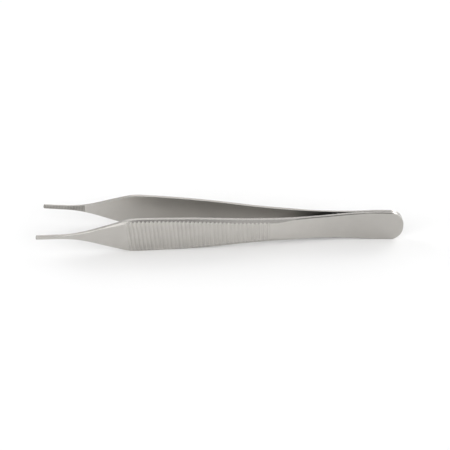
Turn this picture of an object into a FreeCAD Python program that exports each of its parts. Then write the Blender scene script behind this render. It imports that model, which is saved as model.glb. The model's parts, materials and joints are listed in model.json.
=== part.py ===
import FreeCAD, Part
import math
import os

# Thumb forceps in stainless steel. Two forged leaves are welded face to face at the heel and spring
# apart towards two fine jaws. Each leaf is broad and ribbed where the fingers hold it, and narrows
# in front of the grip to a slender jaw with cross teeth on its inner face.
# The forceps lie on the lower long edges of the leaves, as on a table.
# X runs along the length, tips at -X and heel at +X. Y is the way the leaves open. Z is up.
# The origin is at the bottom centre of the box around the whole instrument. Sizes are in mm.

V = FreeCAD.Vector

# Whole instrument
length = 120.0

# Inner face of a leaf in plan, measured from the plane in which the leaves meet
tip_opening = 9.95
bow_opening = 4.95
bow_from_heel = 55.0
bow_radius = 1000.0
bend_from_heel = 17.5
bend_radius = 95.0

# Thickness of a leaf along its length
jaw_thickness = 1.0
grip_thickness = 1.7
spring_thickness = 1.0
heel_thickness = 1.2
grip_thick_from_tip = 30.5
grip_thin_from_heel = 42.0
spring_from_heel = 30.0
jaw_blend_radius = 40.0
grip_blend_radius = 30.0
spring_blend_radius = 40.0

# Half widths of a leaf seen from its side, and the rounding of each change of direction
nose_half_width = 0.63
nose_radius = 0.5
jaw_root_from_tip = 13.15
jaw_root_half_width = 0.73
jaw_root_radius = 42.0
shoulder_from_tip = 30.3
shoulder_half_width = 5.77
shoulder_radius = 17.0
flank_from_tip = 48.0
flank_half_width = 5.67
flank_radius = 440.0
waist_from_heel = 38.0
waist_half_width = 3.31
waist_radius = 250.0
heel_swell_from_heel = 9.4
heel_half_width = 5.01
heel_swell_radius = 30.0
heel_corner_radius = 4.6

# Bevel along the outer long edges of the grip, measured down the edge and across the face
bevel_down = 0.54
bevel_across = 0.8
bevel_from_tip = 12.0
bevel_from_heel = 26.0
bevel_station = 2.5

# Small break of the outer long edges before and behind that bevel
break_size = 0.25
break_station = 1.0

# Rounding of the outer corners of the tip and the heel end, seen in plan
tip_round = 0.5
heel_round = 0.3

# Finger ribs: wide round grooves across the outer face, with narrow crests between them
ribs_from_tip = 30.0
ribs_from_heel = 44.6
rib_pitch = 1.295
first_rib_depth = 0.26
last_rib_depth = 0.22
rib_valley_radius = 0.55
rib_crest_radius = 0.2
rib_lip_angle = 10.0
first_rib_lean = 7.0
last_rib_lean = 0.5

# Jaw teeth: fine notches across the inner face
teeth_length = 14.0
tooth_pitch = 0.52
tooth_depth = 0.17
tooth_width = 0.36

# Ends of the leaf, and how far the working solids reach beyond it and to each side of its middle
tip_x = -length / 2
heel_x = length / 2
beyond = 2 * grip_thickness
reach = 2 * shoulder_half_width


def rounded(corners, closed):
    """Wire through corners (x, y, radius), each rounded by an arc that its two sides leave room for."""
    count = len(corners)
    points = [V(x, y, 0) for x, y, radius in corners]
    turned = []
    for i, (x, y, radius) in enumerate(corners):
        if radius == 0 or (not closed and i in (0, count - 1)):
            turned.append((0, 0, V(), V()))
            continue
        back = (points[i - 1] - points[i]).normalize()
        ahead = (points[(i + 1) % count] - points[i]).normalize()
        half_turn = (math.pi - back.getAngle(ahead)) / 2
        turned.append((radius * math.tan(half_turn), half_turn, back, ahead))
    sides = range(count if closed else count - 1)
    room = [1.0] * count
    for i in sides:
        j = (i + 1) % count
        wanted = turned[i][0] + turned[j][0]
        side = (points[j] - points[i]).Length
        if wanted > side:
            room[i] = min(room[i], side / wanted)
            room[j] = min(room[j], side / wanted)
    arcs = []
    for point, (run, half_turn, back, ahead), share in zip(points, turned, room):
        run = run * share
        if run == 0:
            arcs.append((point, None, point))
            continue
        inwards = (back + ahead).normalize()
        depth = run / math.sin(half_turn) - run / math.tan(half_turn)
        arcs.append((point + back * run, point + inwards * depth, point + ahead * run))
    edges = []
    for i in range(count):
        start, middle, end = arcs[i]
        if middle is not None:
            edges.append(Part.Arc(start, middle, end).toShape())
        if i in sides:
            following = arcs[(i + 1) % count][0]
            if (following - end).Length > 1e-6:
                edges.append(Part.LineSegment(end, following).toShape())
    return Part.Wire(edges)


def height(wire, x):
    """Height of an open wire in the XY plane above the X axis at x."""
    probe = Part.makeLine(V(x, -length, 0), V(x, length, 0))
    return wire.distToShape(probe)[1][0][0].y


def slope(wire, x):
    """Angle of an open wire to the X axis at x, in degrees."""
    step = 0.05
    rise = height(wire, x + step) - height(wire, x - step)
    return math.degrees(math.atan2(rise, 2 * step))


def inner_corners():
    """Corners of a leaf's inner face in plan, from the tip to the heel."""
    return [
        (tip_x, tip_opening, 0),
        (heel_x - bow_from_heel, bow_opening, bow_radius),
        (heel_x - bend_from_heel, 0, bend_radius),
        (heel_x, 0, 0),
    ]


def beside(x, thickness):
    """Point at x on a line at the given thickness outside the inner face."""
    corners = inner_corners()
    for (x0, y0, r0), (x1, y1, r1) in zip(corners, corners[1:]):
        if x <= x1:
            break
    run = math.hypot(x1 - x0, y1 - y0) / (x1 - x0)
    return (x, y0 + (y1 - y0) * (x - x0) / (x1 - x0) + thickness * run)


def outer_corners():
    """Corners of a leaf's outer face in plan, from the tip to the heel."""
    return [
        (*beside(tip_x, jaw_thickness), tip_round),
        (*beside(tip_x + jaw_root_from_tip, jaw_thickness), jaw_blend_radius),
        (*beside(tip_x + grip_thick_from_tip, grip_thickness), grip_blend_radius),
        (*beside(heel_x - bow_from_heel, grip_thickness), bow_radius),
        (*beside(heel_x - grip_thin_from_heel, grip_thickness), grip_blend_radius),
        (*beside(heel_x - spring_from_heel, spring_thickness), spring_blend_radius),
        (heel_x - bend_from_heel, heel_thickness, bend_radius),
        (heel_x, heel_thickness, heel_round),
    ]


def outline_corners():
    """Upper half of a leaf's outline seen from its side, from the nose to the heel end."""
    return [
        (tip_x, nose_half_width, nose_radius),
        (tip_x + jaw_root_from_tip, jaw_root_half_width, jaw_root_radius),
        (tip_x + shoulder_from_tip, shoulder_half_width, shoulder_radius),
        (tip_x + flank_from_tip, flank_half_width, flank_radius),
        (heel_x - waist_from_heel, waist_half_width, waist_radius),
        (heel_x - heel_swell_from_heel, heel_half_width, heel_swell_radius),
        (heel_x, heel_half_width, heel_corner_radius),
    ]


def plan_prism():
    """The leaf's plan, with its true thickness along the length, drawn up through the full width."""
    plan = rounded(inner_corners() + outer_corners()[::-1], closed=True)
    prism = Part.Face(plan).extrude(V(0, 0, 2 * reach))
    prism.translate(V(0, 0, -reach))
    return prism


def outline_prism():
    """The leaf's outline, drawn across the opening direction."""
    upper = outline_corners()
    lower = [(x, -z, radius) for x, z, radius in reversed(upper)]
    face = Part.Face(rounded(upper + lower, closed=True))
    face.rotate(V(), V(1, 0, 0), 90)
    face.translate(V(0, -beyond, 0))
    return face.extrude(V(0, tip_opening + grip_thickness + 2 * beyond, 0))


def edge_tool(corner, first, last, station, down, across):
    """Everything above a slanted cut of constant size along the upper outer edge, from x = first to last.

    corner gives the height of the edge above the plane y = 0 at x. The cut is the surface left by a
    slanted line that follows the edge, so its trace in that plane is the outline raised by the slant
    times the height of the edge.
    """
    slant = across / down
    upper = rounded(outline_corners(), closed=False)
    trace = []
    for point in upper.discretize(Distance=station):
        if first <= point.x <= last:
            trace.append(V(point.x, 0, point.y + slant * (corner(point.x) - down)))
    # One more point in front lets the cut run out past the nose
    trace.insert(0, trace[0] * 2 - trace[1])
    curve = Part.BSplineCurve()
    curve.interpolate(trace)
    far_side = tip_opening + grip_thickness + beyond
    ribbon = curve.toShape().extrude(V(0, far_side, -slant * far_side))
    return ribbon.extrude(V(0, 0, 2 * reach))


def edge_tools():
    """Cutters for the upper outer edge: the grip's bevel, and the small break before and behind it."""
    inner = rounded(inner_corners(), closed=False)
    outer = rounded(outer_corners(), closed=False)

    def grip_edge(x):
        return height(inner, x) + grip_thickness

    def own_edge(x):
        return height(outer, x)

    bevel_ends = tip_x + bevel_from_tip, heel_x - bevel_from_heel
    front_ends = tip_x + nose_radius, tip_x + shoulder_from_tip
    rear_ends = heel_x - waist_from_heel, heel_x
    return [
        edge_tool(grip_edge, *bevel_ends, bevel_station, bevel_down, bevel_across),
        edge_tool(own_edge, *front_ends, break_station, break_size, break_size),
        edge_tool(own_edge, *rear_ends, break_station, break_size, break_size),
    ]


def groove_tool(depth):
    """Cutter for one rib groove: a round valley between two rounded crests, along Z, face at y = 0."""
    lip = math.radians(rib_lip_angle)
    valley = V(0, rib_valley_radius - depth, 0)
    crest_y = -rib_crest_radius * math.cos(lip)
    both = rib_valley_radius + rib_crest_radius
    crest_x = math.sqrt(both ** 2 - (valley.y - crest_y) ** 2)
    lip_x = crest_x - rib_crest_radius * math.sin(lip)

    def half(side):
        crest = V(side * crest_x, crest_y, 0)
        to_valley = (valley - crest).normalize()
        joint = crest + to_valley * rib_crest_radius
        start = V(side * lip_x, 0, 0)
        bulge = ((start - crest) + (joint - crest)).normalize()
        return start, crest + bulge * rib_crest_radius, joint

    left, right = half(-1), half(1)
    above = V(0, depth, 0)
    edges = [
        Part.LineSegment(left[0] + above, left[0]).toShape(),
        Part.Arc(*left).toShape(),
        Part.Arc(left[2], V(0, -depth, 0), right[2]).toShape(),
        Part.Arc(right[2], right[1], right[0]).toShape(),
        Part.LineSegment(right[0], right[0] + above).toShape(),
        Part.LineSegment(right[0] + above, left[0] + above).toShape(),
    ]
    tool = Part.Face(Part.Wire(edges)).extrude(V(0, 0, 2 * reach))
    tool.translate(V(0, 0, -reach))
    return tool


def tooth_tool():
    """Cutter for one jaw notch: a V along Z, open towards -Y, face at y = 0."""
    corners = [
        (-tooth_width / 2, 0, 0),
        (0, tooth_depth, 0),
        (tooth_width / 2, 0, 0),
        (tooth_width / 2, -tooth_depth, 0),
        (-tooth_width / 2, -tooth_depth, 0),
    ]
    tool = Part.Face(rounded(corners, closed=True)).extrude(V(0, 0, 2 * reach))
    tool.translate(V(0, 0, -reach))
    return tool


def stations(first, last, pitch):
    """Places x from first to last, one pitch apart."""
    return [first + i * pitch for i in range(int((last - first) / pitch + 1e-6) + 1)]


def set_square(tool, wire, x):
    """A copy of a cutter at x on a wire, square to the wire there."""
    copy = tool.copy()
    copy.rotate(V(), V(0, 0, 1), slope(wire, x))
    copy.translate(V(x, height(wire, x), 0))
    return copy


def rib_tools():
    """Cutters for the finger ribs.

    Their depth and the lean of their tops towards the tips change evenly from the first to the last.
    """
    outer = rounded(outer_corners(), closed=False)
    first, last = tip_x + ribs_from_tip, heel_x - ribs_from_heel
    tools = []
    for x in stations(first, last, rib_pitch):
        share = (x - first) / (last - first)
        tool = groove_tool(first_rib_depth + (last_rib_depth - first_rib_depth) * share)
        tool.rotate(V(), V(0, 1, 0), -first_rib_lean - (last_rib_lean - first_rib_lean) * share)
        tools.append(set_square(tool, outer, x))
    return tools


def teeth_tools(tooth_shift):
    """Cutters for the jaw teeth, the first of them set back by tooth_shift."""
    inner = rounded(inner_corners(), closed=False)
    tool = tooth_tool()
    first = tip_x + tooth_pitch / 2 + tooth_shift
    return [set_square(tool, inner, x) for x in stations(first, tip_x + teeth_length, tooth_pitch)]


def leaf(tooth_shift):
    """One leaf on the +Y side, its width centred on z = 0, with its row of teeth set back by tooth_shift."""
    body = plan_prism().common(outline_prism()).Solids[0]
    upper = edge_tools()
    lower = [tool.mirror(V(), V(0, 0, 1)) for tool in upper]
    body = body.cut(upper + lower)
    body = body.cut(rib_tools() + teeth_tools(tooth_shift))
    return body.Solids[0]


def arc_of(i):
    """Centre and radius of the arc at corner i of the outline's upper half."""
    (x0, z0, r0), (x1, z1, radius), (x2, z2, r2) = outline_corners()[i - 1:i + 2]
    before = math.atan2(z1 - z0, x1 - x0)
    after = math.atan2(z2 - z1, x2 - x1)
    run = radius * math.tan((before - after) / 2)
    x = x1 - run * math.cos(before) + radius * math.sin(before)
    z = z1 - run * math.sin(before) - radius * math.cos(before)
    return x, z, radius


def rest():
    """Pitch about Y, in degrees, and lift that set the heel and the grip down on z = 0 together.

    The lower edge mirrors the upper one. It rests on the heel's corner arc and on the arc of the grip
    whose common tangent with it leans most.
    """
    end_x = heel_x - heel_corner_radius
    end_z = heel_half_width - heel_corner_radius
    pitch = -math.inf
    for grip_x, grip_z, grip_radius in (arc_of(2), arc_of(3)):
        apart = math.hypot(end_x - grip_x, end_z - grip_z)
        lean = math.atan2(end_z - grip_z, end_x - grip_x)
        pitch = max(pitch, math.asin((grip_radius - heel_corner_radius) / apart) - lean)
    lift = heel_corner_radius + end_z * math.cos(pitch) + end_x * math.sin(pitch)
    return math.degrees(pitch), lift


def main():
    os.makedirs("parts", exist_ok=True)
    pitch, lift = rest()
    right_leaf = leaf(tooth_shift=0)
    left_leaf = leaf(tooth_shift=tooth_pitch / 2).mirror(V(), V(0, 1, 0))
    for name, shape in (("left_leaf", left_leaf), ("right_leaf", right_leaf)):
        shape.rotate(V(), V(0, 1, 0), pitch)
        shape.translate(V(0, 0, lift))
        shape.exportStep("parts/" + name + ".step")
        print(name, shape.ShapeType, shape.isValid(), round(shape.Volume, 2), "mm3")


main()
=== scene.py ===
# %% [markdown]
# # Thumb forceps in satin steel
# This lesson dresses a pair of fine thumb forceps. Two steel leaves are welded together at the heel and spring
# apart towards the jaws. Their shapes come ready made from CAD, so the work here is in the camera, the light
# and above all the steel: a metal has no look of its own, it shows its surroundings through its finish.
# The first cell loads the two leaves and keeps the box around them.

# %% Load the two leaves
import json
import math

import bmesh
import bpy
from mathutils import Matrix, Vector


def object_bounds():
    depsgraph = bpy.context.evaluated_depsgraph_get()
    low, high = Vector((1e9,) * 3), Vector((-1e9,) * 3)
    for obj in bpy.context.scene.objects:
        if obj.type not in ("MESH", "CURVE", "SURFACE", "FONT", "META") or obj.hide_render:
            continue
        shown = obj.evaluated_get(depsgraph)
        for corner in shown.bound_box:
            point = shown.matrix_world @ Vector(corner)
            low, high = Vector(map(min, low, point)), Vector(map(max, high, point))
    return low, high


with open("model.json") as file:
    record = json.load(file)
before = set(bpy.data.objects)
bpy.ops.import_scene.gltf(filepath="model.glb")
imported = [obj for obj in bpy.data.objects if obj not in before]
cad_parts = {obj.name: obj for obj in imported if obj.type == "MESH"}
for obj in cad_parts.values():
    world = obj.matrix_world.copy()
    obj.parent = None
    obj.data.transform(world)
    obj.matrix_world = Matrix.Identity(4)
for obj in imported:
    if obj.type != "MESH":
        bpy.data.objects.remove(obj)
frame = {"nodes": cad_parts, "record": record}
cad_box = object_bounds()
leaves = [frame["nodes"]["left_leaf"], frame["nodes"]["right_leaf"]]
length, opening, height = (round(1000 * (high - low), 2) for low, high in zip(*cad_box))
print("length", length, "mm, opening", opening, "mm, height", height, "mm")

# %% [markdown]
# ## The camera
# A picture of a thin object is mostly a question of perspective, so the camera was worked out from the
# picture's edges and isn't moved by feel. It is described the way a photographer would: how high it looks down
# from, how far it has turned round the object, how much it is tilted, how far off it is and where it aims.
# Its three axes follow from those angles, and together they are its rotation matrix.

# %% Place the camera
LOOKS_DOWN = math.radians(30.0)
TURNED = math.radians(-0.57)
TILTED = math.radians(0.32)
DISTANCE = 0.4
AIM = Vector((0.00111, 0, 0.00478))
FOCAL_PIXELS = 1209.5
IMAGE_PIXELS = 450
SENSOR_MM = 36
NEAREST_SEEN = 0.01


def camera_axes(down, turn, tilt):
    """The camera's right, up and back directions."""
    back = Vector((math.sin(turn) * math.cos(down), -math.cos(turn) * math.cos(down), math.sin(down)))
    level = Vector((math.cos(turn), math.sin(turn), 0))
    above = back.cross(level)
    right = math.cos(tilt) * level + math.sin(tilt) * above
    return right, back.cross(right), back


axes = camera_axes(LOOKS_DOWN, TURNED, TILTED)
camera = bpy.data.objects.new("camera", bpy.data.cameras.new("camera"))
bpy.context.scene.collection.objects.link(camera)
camera.matrix_world = Matrix.Translation(AIM + DISTANCE * axes[2]) @ Matrix(axes).transposed().to_4x4()
camera.data.sensor_width = SENSOR_MM
camera.data.lens = FOCAL_PIXELS * SENSOR_MM / IMAGE_PIXELS
camera.data.clip_start = NEAREST_SEEN
bpy.context.scene.camera = camera
print("lens", round(camera.data.lens, 1), "mm, camera at", [round(v, 3) for v in camera.location])

# %% [markdown]
# ## Helpers for shader nodes
# Every material below is a small graph of nodes. The first helper adds a node and sets its options. The second
# joins another node's output to an input, or writes a plain value into it. The third does one sum, and gives
# back its output, so that sums can be nested as in ordinary code.


# %% Helpers for node graphs
def add(tree, kind, **options):
    """A new node of that kind with its options set."""
    new = tree.nodes.new(kind)
    for name, value in options.items():
        setattr(new, name, value)
    return new


def feed(tree, socket, source):
    """Joins an output to an input, or sets the input to a number, a vector or a colour."""
    if isinstance(source, bpy.types.NodeSocket):
        tree.links.new(source, socket)
    else:
        socket.default_value = source


def math_node(tree, operation, *values, clamp=False):
    """The output of a Math node fed with those values."""
    new = add(tree, "ShaderNodeMath", operation=operation, use_clamp=clamp)
    for socket, value in zip(new.inputs, values):
        feed(tree, socket, value)
    return new.outputs[0]


print("helpers ready:", add.__name__, feed.__name__, math_node.__name__)

# %% [markdown]
# ## The table
# The forceps lie on a plain white table that fades into a white background. The table is one matt face, a
# grid of a single cell made with bmesh. Matt paint sends back four fifths of the light, so it can come out as
# a pale grey where the picture shows white. A little light of its own lifts it, which the Is Camera Ray
# output of a Light Path node switches on for the camera only. The soft shadow stays, because it lies in the
# part that the studio lights.

# %% The table
TABLE_SIDE = 4.0
TABLE_WHITE = 0.8
TABLE_GLOW = 0.04

table_mesh = bpy.data.meshes.new("table")
table = bpy.data.objects.new("table", table_mesh)
bpy.context.scene.collection.objects.link(table)
shape = bmesh.new()
bmesh.ops.create_grid(shape, x_segments=1, y_segments=1, size=TABLE_SIDE / 2)
shape.to_mesh(table_mesh)
shape.free()


def table_material():
    """A matt white that glows a little for the camera."""
    material = bpy.data.materials.new("white_table")
    material.use_nodes = True
    tree = material.node_tree
    tree.nodes.clear()
    matt = add(tree, "ShaderNodeBsdfDiffuse")
    feed(tree, matt.inputs["Color"], (TABLE_WHITE, TABLE_WHITE, TABLE_WHITE, 1))
    glow = add(tree, "ShaderNodeEmission")
    path = add(tree, "ShaderNodeLightPath").outputs
    feed(tree, glow.inputs["Strength"], math_node(tree, "MULTIPLY", path["Is Camera Ray"], TABLE_GLOW))
    both = add(tree, "ShaderNodeAddShader")
    feed(tree, both.inputs[0], matt.outputs[0])
    feed(tree, both.inputs[1], glow.outputs[0])
    feed(tree, add(tree, "ShaderNodeOutputMaterial").inputs["Surface"], both.outputs[0])
    return material


table_mesh.materials.append(table_material())
print("table", TABLE_SIDE, "m square")

# %% [markdown]
# ## Ramps and mixes
# Most of what follows is a change from one value to another: from dark to bright across the rim of a light, or
# from fine to dull along the steel. A Map Range node with a smooth step makes it where a measure decides, such
# as a length or an angle. A Mix node makes it where a mask between 0 and 1 decides, and can mix colours too.


# %% Helpers for smooth changes
def ramp(tree, value, low, high, at_low=0.0, at_high=1.0, kind="SMOOTHSTEP"):
    """A change from at_low to at_high while value goes from low to high."""
    new = add(tree, "ShaderNodeMapRange", interpolation_type=kind)
    for socket, number in zip(new.inputs, (value, low, high, at_low, at_high)):
        feed(tree, socket, number)
    return new.outputs[0]


def mix(tree, mask, at_zero, at_one, **options):
    """One value where the mask is 0, the other where it is 1."""
    new = add(tree, "ShaderNodeMix", **options)
    for name, source in (("Factor", mask), ("A", at_zero), ("B", at_one)):
        feed(tree, new.inputs[name], source)
    return new.outputs["Result"]


print("helpers ready:", ramp.__name__, mix.__name__)

# %% [markdown]
# ## Light for metal
# Satin steel shows a blurred image of the studio. So there is no lamp in this scene. The world is the studio,
# made of soft round glows on a faint overall light. Each glow is a direction, a half width in degrees and a
# strength, and they add up. The angle between a ray and a glow comes from the dot product of the two
# directions. A smooth ramp of it makes the soft rim round a core of a third of the width.
# The strengths follow from the steel in the picture. The upper edges show what is behind and 28 degrees up,
# the bevels show what is in front and half way up, and the heel's round corner shows what is behind on the
# right. Strong low glows at the sides and the back fall on the table at a slant, which gives the faint shadow
# in front.

# %% The studio as a world
AMBIENT = 0.27
RIM_TO_CORE = 3
GLOWS = [
    ((0.0, 0.88, 0.47), 20, 0.42),
    ((0.27, 0.84, 0.47), 20, 0.35),
    ((0.54, 0.7, 0.47), 20, 5.08),
    ((0.78, 0.41, 0.47), 25, 2.32),
    ((-0.27, 0.84, 0.47), 20, 0.61),
    ((-0.78, 0.41, 0.47), 25, 2.37),
    ((0.0, 1.0, 0.07), 20, 4.26),
    ((0.5, 0.86, 0.07), 20, 0.96),
    ((-0.86, 0.5, 0.07), 25, 5.12),
    ((0.53, 0.31, 0.79), 25, 0.71),
    ((0.0, -0.8, 0.6), 20, 0.06),
    ((0.0, -0.98, 0.17), 25, 1.73),
    ((-0.26, -0.84, 0.47), 14, 2.0),
    ((-0.56, -0.66, 0.5), 22, 1.52),
    ((0.56, -0.66, 0.5), 22, 1.2),
    ((-0.26, -0.46, 0.85), 22, 1.54),
    ((0.86, -0.08, 0.5), 30, 3.03),
    ((-0.86, -0.5, 0.09), 30, 5.52),
    ((0.86, -0.5, 0.09), 30, 5.56),
]


def studio_world():
    """A world that is white to the camera, and for the light is made of soft round glows."""
    world = bpy.data.worlds.new("studio")
    bpy.context.scene.world = world
    world.use_nodes = True
    tree = world.node_tree
    tree.nodes.clear()
    direction = add(tree, "ShaderNodeTexCoord").outputs["Generated"]
    level = AMBIENT
    for axis, half_width, strength in GLOWS:
        towards = add(tree, "ShaderNodeVectorMath", operation="DOT_PRODUCT")
        feed(tree, towards.inputs[0], direction)
        feed(tree, towards.inputs[1], Vector(axis).normalized())
        rim = math.cos(math.radians(half_width))
        core = math.cos(math.radians(half_width / RIM_TO_CORE))
        level = math_node(tree, "ADD", level, ramp(tree, towards.outputs["Value"], rim, core, 0.0, strength))
    seen = add(tree, "ShaderNodeLightPath").outputs["Is Camera Ray"]
    background = add(tree, "ShaderNodeBackground")
    feed(tree, background.inputs["Strength"], mix(tree, seen, level, 1.0))
    feed(tree, add(tree, "ShaderNodeOutputWorld").inputs["Surface"], background.outputs[0])


studio_world()
print("studio lit by", len(GLOWS), "glows")

# %% [markdown]
# ## The grain of satin steel
# Surgical steel is brushed and then matted so that it doesn't glare. Close up that is a mass of fine
# scratches, under a tenth of a millimetre wide and much longer than wide. Noise stretched along one axis makes
# them: the coordinates are divided by a long and a narrow size before the noise reads them. All this is a node
# group, which a material can use like a node of its own. The group gives out a height for bump and a streak
# for roughness and colour.

# %% The grain as a node group
GRAIN_LENGTH, GRAIN_WIDTH = 0.004, 0.00008
GRAIN_DETAIL, GRAIN_ROUGHNESS = 3.0, 0.6
NOISE_SPAN = (0.3, 0.7)


def new_group(name, inputs, outputs):
    """An empty shader node group, with its input and output sockets. inputs are (name, start value)."""
    group = bpy.data.node_groups.new(name, "ShaderNodeTree")
    for label, start in inputs:
        group.interface.new_socket(label, in_out="INPUT", socket_type="NodeSocketFloat").default_value = start
    for label in outputs:
        group.interface.new_socket(label, in_out="OUTPUT", socket_type="NodeSocketFloat")
    return group, group.nodes.new("NodeGroupInput").outputs, group.nodes.new("NodeGroupOutput").inputs


def noise(group, place, seed, detail):
    """A Noise node read at a place that is already scaled. The seed picks one of many patterns."""
    new = add(group, "ShaderNodeTexNoise", noise_dimensions="4D")
    for name, source in (("Vector", place), ("W", seed), ("Scale", 1.0), ("Detail", detail)):
        feed(group, new.inputs[name], source)
    return new


def brushed_grain():
    """Fine lengthwise scratches with a broken, uneven strength."""
    sizes = [("Length", GRAIN_LENGTH), ("Width", GRAIN_WIDTH)]
    group, given, out = new_group("brushed_grain", sizes + [("Seed", 0.0)], ["Height", "Streak"])
    cell = add(group, "ShaderNodeCombineXYZ")
    for axis, size in zip("XYZ", ("Length", "Width", "Width")):
        feed(group, cell.inputs[axis], given[size])
    squeezed = add(group, "ShaderNodeVectorMath", operation="DIVIDE")
    feed(group, squeezed.inputs[0], add(group, "ShaderNodeTexCoord").outputs["Object"])
    feed(group, squeezed.inputs[1], cell.outputs[0])
    fine = noise(group, squeezed.outputs[0], given["Seed"], GRAIN_DETAIL)
    feed(group, fine.inputs["Roughness"], GRAIN_ROUGHNESS)
    feed(group, out["Height"], fine.outputs["Fac"])
    feed(group, out["Streak"], ramp(group, fine.outputs["Fac"], *NOISE_SPAN))
    return group


grain = brushed_grain()
print("group", grain.name, "with", len(grain.nodes), "nodes")

# %% [markdown]
# ## Cloudy patches
# No hand-finished surface is even. A slow, soft noise gives patches a few millimetres wide in which the
# steel is a little lighter or duller.

# %% The patches as a node group
PATCH_SIZE = 0.006
PATCH_DETAIL = 2.0


def soft_patches():
    """A slow noise between 0 and 1."""
    group, given, out = new_group("soft_patches", [("Size", PATCH_SIZE), ("Seed", 0.0)], ["Patch"])
    scaled = add(group, "ShaderNodeVectorMath", operation="SCALE")
    feed(group, scaled.inputs[0], add(group, "ShaderNodeTexCoord").outputs["Object"])
    feed(group, scaled.inputs["Scale"], math_node(group, "DIVIDE", 1.0, given["Size"]))
    slow = noise(group, scaled.outputs[0], given["Seed"], PATCH_DETAIL)
    feed(group, out["Patch"], ramp(group, slow.outputs["Fac"], *NOISE_SPAN))
    return group


patches = soft_patches()
print("group", patches.name, "with", len(patches.nodes), "nodes")

# %% [markdown]
# ## Which way each surface faces
# The narrow long edges are polished by a belt, so they are smoother than the faces. The steep little flanks
# of the ribs and teeth are given painted shade further on. The object's own normals tell
# these places apart: edges face up or down, ends face along the length, and flanks face partly along it and
# hardly up. Each pair of numbers is where a mask begins and where it is complete.

# %% Edges and flanks as a node group
EDGE_FACES_UP = (0.3, 0.6)
END_FACES_ALONG = (0.85, 0.95)
FLANK_FACES_ALONG = (0.3, 0.55)
FLANK_STOPS_UP = (0.1, 0.3)


def split(tree, vector):
    """The X, Y and Z of a vector."""
    parts = add(tree, "ShaderNodeSeparateXYZ")
    feed(tree, parts.inputs[0], vector)
    return parts.outputs


def facing_zones():
    """Masks for the narrow edges and ends, and for the flanks of the ribs and teeth."""
    group, _, out = new_group("facing_zones", [], ["Rim", "Flank"])
    facing = split(group, add(group, "ShaderNodeTexCoord").outputs["Normal"])
    along = math_node(group, "ABSOLUTE", facing["X"])
    upright = math_node(group, "ABSOLUTE", facing["Z"])
    edge = ramp(group, upright, *EDGE_FACES_UP)
    end = ramp(group, along, *END_FACES_ALONG)
    feed(group, out["Rim"], math_node(group, "MAXIMUM", edge, end))
    not_up = ramp(group, upright, *FLANK_STOPS_UP, 1, 0)
    steep = math_node(group, "MULTIPLY", ramp(group, along, *FLANK_FACES_ALONG), not_up)
    feed(group, out["Flank"], math_node(group, "SUBTRACT", steep, end, clamp=True))
    return group


zones = facing_zones()
print("group", zones.name, "with", len(zones.nodes), "nodes")

# %% [markdown]
# ## Counting the ribs
# The ribs are 36 wide round grooves with narrow crests between them. The part's own numbers say where they
# are: how far the row keeps from the tips and from the heel, the pitch, and a lean that fades along the row.
# A leaf lies on its lower long edge, so its middle line falls by half a degree towards the heel, and the
# grooves are counted along that line. The count is a whole number in the middle of each groove.

# %% Where the ribs are
RIBS_FROM_TIPS, RIBS_FROM_HEEL = 0.0300, 0.0446
RIB_FIRST = cad_box[0][0] + RIBS_FROM_TIPS
RIB_LAST = cad_box[1][0] - RIBS_FROM_HEEL
RIB_PITCH = 0.001295
RIB_FIRST_LEAN = math.tan(math.radians(7.0))
RIB_LAST_LEAN = math.tan(math.radians(0.5))
LEAF_FALL = math.tan(math.radians(0.522))
LEAF_MIDDLE = 0.005515


def rib_place(group, x, z):
    """How far along a leaf and above its middle line a point is, and how many grooves from the first one."""
    up = math_node(group, "MULTIPLY_ADD", x, LEAF_FALL, math_node(group, "SUBTRACT", z, LEAF_MIDDLE))
    along = math_node(group, "MULTIPLY_ADD", up, -LEAF_FALL, x)
    lean = ramp(group, along, RIB_FIRST, RIB_LAST, RIB_FIRST_LEAN, RIB_LAST_LEAN, kind="LINEAR")
    upright = math_node(group, "MULTIPLY_ADD", up, lean, along)
    count = math_node(group, "DIVIDE", math_node(group, "SUBTRACT", upright, RIB_FIRST), RIB_PITCH)
    return along, up, count


last_count = (RIB_LAST - RIB_FIRST) / RIB_PITCH
print("the row of ribs is", round(last_count, 1), "pitches long")

# %% [markdown]
# ## Painted shade on the rib crests and flanks
# The crests get thin dark lines of painted shade, and the flanks are painted darker too. Ping-pong turns
# the count into a wave that is 0 in the middle of each groove and 0.5 half way to the next one. The lines are
# strongest near the jaws, and soften towards the upper edge. They belong on the outer faces only. There the
# normal points to the side of the middle that the leaf is on, so that Y times the normal's Y is positive.
# Everywhere else only flanks get painted shade, which are those of the teeth inside the jaws.

# %% Rib crests and flanks as a node group
# Painted shade: how dark the rib crests and flanks are made near the jaws and near the heel, and the tooth
# flanks.
RIB_FRONT_SHADE, RIB_BACK_SHADE = 0.11, 0.015
RIB_UPPER_SHARE = 0.25
TOOTH_SHADE = 0.4
HALF_WAY = 0.5
CREST = (0.3, 0.46)
ROW_ENDS = (0.4, 0.5)
OUTSIDE = (0.001, 0.002)
UPPER_EDGE = (0.0025, 0.0045)


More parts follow.
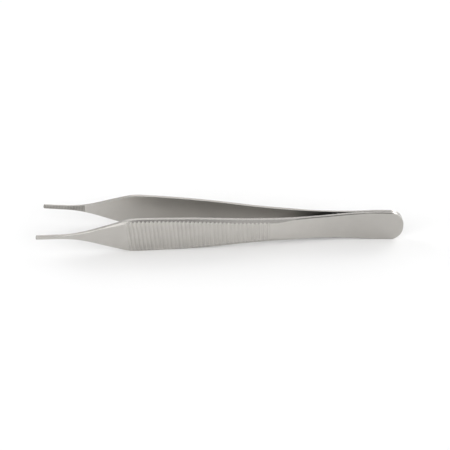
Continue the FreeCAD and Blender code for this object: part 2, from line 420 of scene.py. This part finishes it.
def painted_rib_and_tooth_shade():
    """How much painted shade darkens the rib crests and the flanks of ribs and teeth."""
    group, given, out = new_group("painted_rib_and_tooth_shade", [("Flank", 0.0)], ["Dull"])
    source = add(group, "ShaderNodeTexCoord").outputs
    x, y, z = split(group, source["Object"])
    along, up, count = rib_place(group, x, z)
    crest = ramp(group, math_node(group, "PINGPONG", count, HALF_WAY), *CREST)
    near, far = ROW_ENDS
    started = ramp(group, count, -far, -near)
    going_on = ramp(group, count, last_count + near, last_count + far, 1, 0)
    outward = math_node(group, "MULTIPLY", y, split(group, source["Normal"])["Y"])
    on_ribs = math_node(group, "MULTIPLY", math_node(group, "MULTIPLY", started, going_on),
                        ramp(group, outward, *OUTSIDE))
    rib_shade_strength = math_node(group, "MULTIPLY", ramp(group, along, RIB_FIRST, RIB_LAST, RIB_FRONT_SHADE, RIB_BACK_SHADE),
                     ramp(group, up, *UPPER_EDGE, 1, RIB_UPPER_SHARE))
    # Painted shade on the rib crests and flanks, and on the tooth flanks elsewhere.
    lines = math_node(group, "MULTIPLY", math_node(group, "MAXIMUM", crest, given["Flank"]), rib_shade_strength)
    teeth = math_node(group, "MULTIPLY", given["Flank"], TOOTH_SHADE)
    feed(group, out["Dull"], mix(group, on_ribs, teeth, lines))
    return group


rib_and_tooth_shade_group = painted_rib_and_tooth_shade()
print("group", rib_and_tooth_shade_group.name, "with", len(rib_and_tooth_shade_group.nodes), "nodes")

# %% [markdown]
# ## Painted shade between the leaves, darker ends and the seam
# The inner faces of the leaves get painted shade, which grows towards the spring end and is strongest in the
# narrow throat. The heel, the narrow front part and the lowest strip of the outer faces are made a little
# darker too, and where the two leaves meet at the heel there is a hair-fine dark seam. Each of these places is
# a mask made of the position and of the normal. The sign of Y tells the leaves apart, and times the normal's Y
# it tells the inner faces from the outer ones.

# %% Painted shade and darker ends as a node group
# Painted shade on the inner faces and in the throat; the heel, the lowest strip and the front part darker; the
# dark seam.
INNER_TOP_SHADE, THROAT_SHADE, HEEL_DARKER = 0.3, 0.75, 0.15
SEAM_DULL, LOW_DARKER, TAPER_DARKER = 0.7, 0.08, 0.06
FACES_IN, FACES_OUT = (-0.8, -0.4), (0.4, 0.8)
INNER_HEIGHT, INNER_LENGTH = (0.005, 0.0105), (-0.036, -0.016)
THROAT_LENGTH = (0.014, 0.040)
LOW_HEIGHT = (0.001, 0.007)
TAPER_END = (-0.034, -0.028)
HEEL_LENGTH = (0.015, 0.052)
SEAM_WIDTH, SEAM_START = (0.0001, 0.0002), (0.042, 0.047)


def painted_shade_darker_ends_and_seam():
    """How much darker the steel is made: painted shade between the leaves, darker low outside and at both
    ends, and the dark seam.
    """
    group, _, out = new_group("painted_shade_darker_ends_and_seam", [], ["Dull"])
    source = add(group, "ShaderNodeTexCoord").outputs
    x, y, z = split(group, source["Object"])
    outward = math_node(group, "MULTIPLY", math_node(group, "SIGN", y), split(group, source["Normal"])["Y"])
    # Painted shade on the upper part of the inner faces behind the front part, and in the throat.
    inner_top = math_node(group, "MULTIPLY", ramp(group, z, *INNER_HEIGHT, 0, INNER_TOP_SHADE),
                          ramp(group, x, *INNER_LENGTH))
    throat = ramp(group, x, *THROAT_LENGTH, 0, THROAT_SHADE)
    inner = math_node(group, "MULTIPLY", ramp(group, outward, *FACES_IN, 1, 0),
                      math_node(group, "MAXIMUM", inner_top, throat))
    low = ramp(group, z, *LOW_HEIGHT, LOW_DARKER, 0)
    taper = ramp(group, x, *TAPER_END, TAPER_DARKER, 0)
    ends = ramp(group, x, *HEEL_LENGTH, taper, HEEL_DARKER)
    outer = math_node(group, "MULTIPLY", ramp(group, outward, *FACES_OUT),
                      math_node(group, "MAXIMUM", low, ends))
    beside_seam = math_node(group, "ABSOLUTE", y)
    seam = math_node(group, "MULTIPLY", ramp(group, beside_seam, *SEAM_WIDTH, SEAM_DULL, 0),
                     ramp(group, x, *SEAM_START))
    feed(group, out["Dull"], math_node(group, "MAXIMUM", math_node(group, "ADD", inner, outer), seam))
    return group


shade_ends_and_seam_group = painted_shade_darker_ends_and_seam()
print("group", shade_ends_and_seam_group.name, "with", len(shade_ends_and_seam_group.nodes), "nodes")

# %% [markdown]
# ## The steel's colour
# The record says what the steel's own colour is, and for a metal that is the colour of its reflections. It is
# made less red by one percent, to suit the picture. The grain and the patches bend it by a few percent, and
# the two masks of painted shade and darkening take it down. Patches vary the strength of the painted shade on
# the ribs and teeth too.

# %% The colour of the steel
COOLER = (1.0, 1.012, 1.004)
DARKEST_TINT, LIGHTEST_TINT = 0.96, 1.04
# How much the patches vary the painted shade on the ribs and teeth.
MOST_SHADE, LEAST_SHADE = 1.2, 0.8

record_colour = next(m["base_color"] for m in frame["record"]["materials"] if m["slot"] == "satin_steel")
cool_steel = [own * change for own, change in zip(record_colour, COOLER)]


def place_group(tree, group, **values):
    """The outputs of a group placed in a material, with some of its inputs fed."""
    new = add(tree, "ShaderNodeGroup", node_tree=group)
    for name, value in values.items():
        feed(tree, new.inputs[name], value)
    return new.outputs


def steel_colour(tree, uneven, patch, flank):
    """The colour of the reflections, darker where shade is painted in and at the darker ends and seam."""
    darkest, lightest = ([share * c for c in cool_steel] + [1] for share in (DARKEST_TINT, LIGHTEST_TINT))
    tint = mix(tree, uneven, darkest, lightest, data_type="RGBA")
    # Painted shade on the ribs and teeth, varied by the patches, added to the painted shade between the
    # leaves, the darker ends and the seam.
    rib_and_tooth_shade = place_group(tree, rib_and_tooth_shade_group, Flank=flank)["Dull"]
    shade_ends_and_seam = place_group(tree, shade_ends_and_seam_group)["Dull"]
    darkening = math_node(tree, "MULTIPLY_ADD", rib_and_tooth_shade, ramp(tree, patch, 0, 1, MOST_SHADE, LEAST_SHADE), shade_ends_and_seam)
    return mix(tree, darkening, tint, (0.0, 0.0, 0.0, 1), data_type="RGBA", blend_type="MULTIPLY")


print("steel colour", [round(c, 3) for c in cool_steel])

# %% [markdown]
# ## The steel
# The same grain moves the colour, the roughness and the bump, so that they belong together. The edges are
# smoother than the faces. A Bevel node blurs the normal over six hundredths of a millimetre, so that the
# sharpest arrises catch a thin line of light. It changes the shading only: the breaks and bevels one can see
# are in the mesh. Each leaf gets its own seed, because no two are brushed alike.

# %% The material
GRAIN_SHARE = 0.5
ROUGHEST, SMOOTHEST = 0.42, 0.34
RIM_POLISH = 0.6
ARRIS_RADIUS, ARRIS_SAMPLES = 0.00006, 6
BUMP_STRENGTH, BUMP_DEPTH = 0.3, 0.00002


def steel_normal(tree, height):
    """A normal softened at the arrises and moved by the scratches."""
    arris = add(tree, "ShaderNodeBevel", samples=ARRIS_SAMPLES)
    feed(tree, arris.inputs["Radius"], ARRIS_RADIUS)
    relief = add(tree, "ShaderNodeBump")
    feed(tree, relief.inputs["Normal"], arris.outputs[0])
    feed(tree, relief.inputs["Strength"], BUMP_STRENGTH)
    feed(tree, relief.inputs["Distance"], BUMP_DEPTH)
    feed(tree, relief.inputs["Height"], height)
    return relief.outputs[0]


def satin_steel(name, seed):
    """Brushed and matted stainless steel."""
    material = bpy.data.materials.new(name)
    material.use_nodes = True
    tree = material.node_tree
    tree.nodes.clear()
    scratches = place_group(tree, grain, Seed=seed)
    patch = place_group(tree, patches, Seed=seed)["Patch"]
    sides = place_group(tree, zones)
    cloudy = math_node(tree, "MULTIPLY", patch, 1 - GRAIN_SHARE)
    uneven = math_node(tree, "MULTIPLY_ADD", scratches["Streak"], GRAIN_SHARE, cloudy)
    matted = ramp(tree, uneven, 0, 1, ROUGHEST, SMOOTHEST)
    polish = ramp(tree, sides["Rim"], 0, 1, 1.0, RIM_POLISH)
    shader = add(tree, "ShaderNodeBsdfPrincipled")
    feed(tree, shader.inputs["Metallic"], 1.0)
    feed(tree, shader.inputs["Base Color"], steel_colour(tree, uneven, patch, sides["Flank"]))
    feed(tree, shader.inputs["Roughness"], math_node(tree, "MULTIPLY", matted, polish))
    feed(tree, shader.inputs["Normal"], steel_normal(tree, scratches["Height"]))
    feed(tree, add(tree, "ShaderNodeOutputMaterial").inputs["Surface"], shader.outputs[0])
    return material


for seed, leaf in enumerate(leaves):
    steel = satin_steel("satin_steel_" + leaf.name, seed)
    for place in leaf.material_slots:
        place.material = steel
    print(leaf.name, "wears", steel.name)

# %% [markdown]
# ## The plain view
# Blender's Standard view writes colours as they are.

# %% Finish with the plain view
bpy.context.scene.view_settings.view_transform = "Standard"
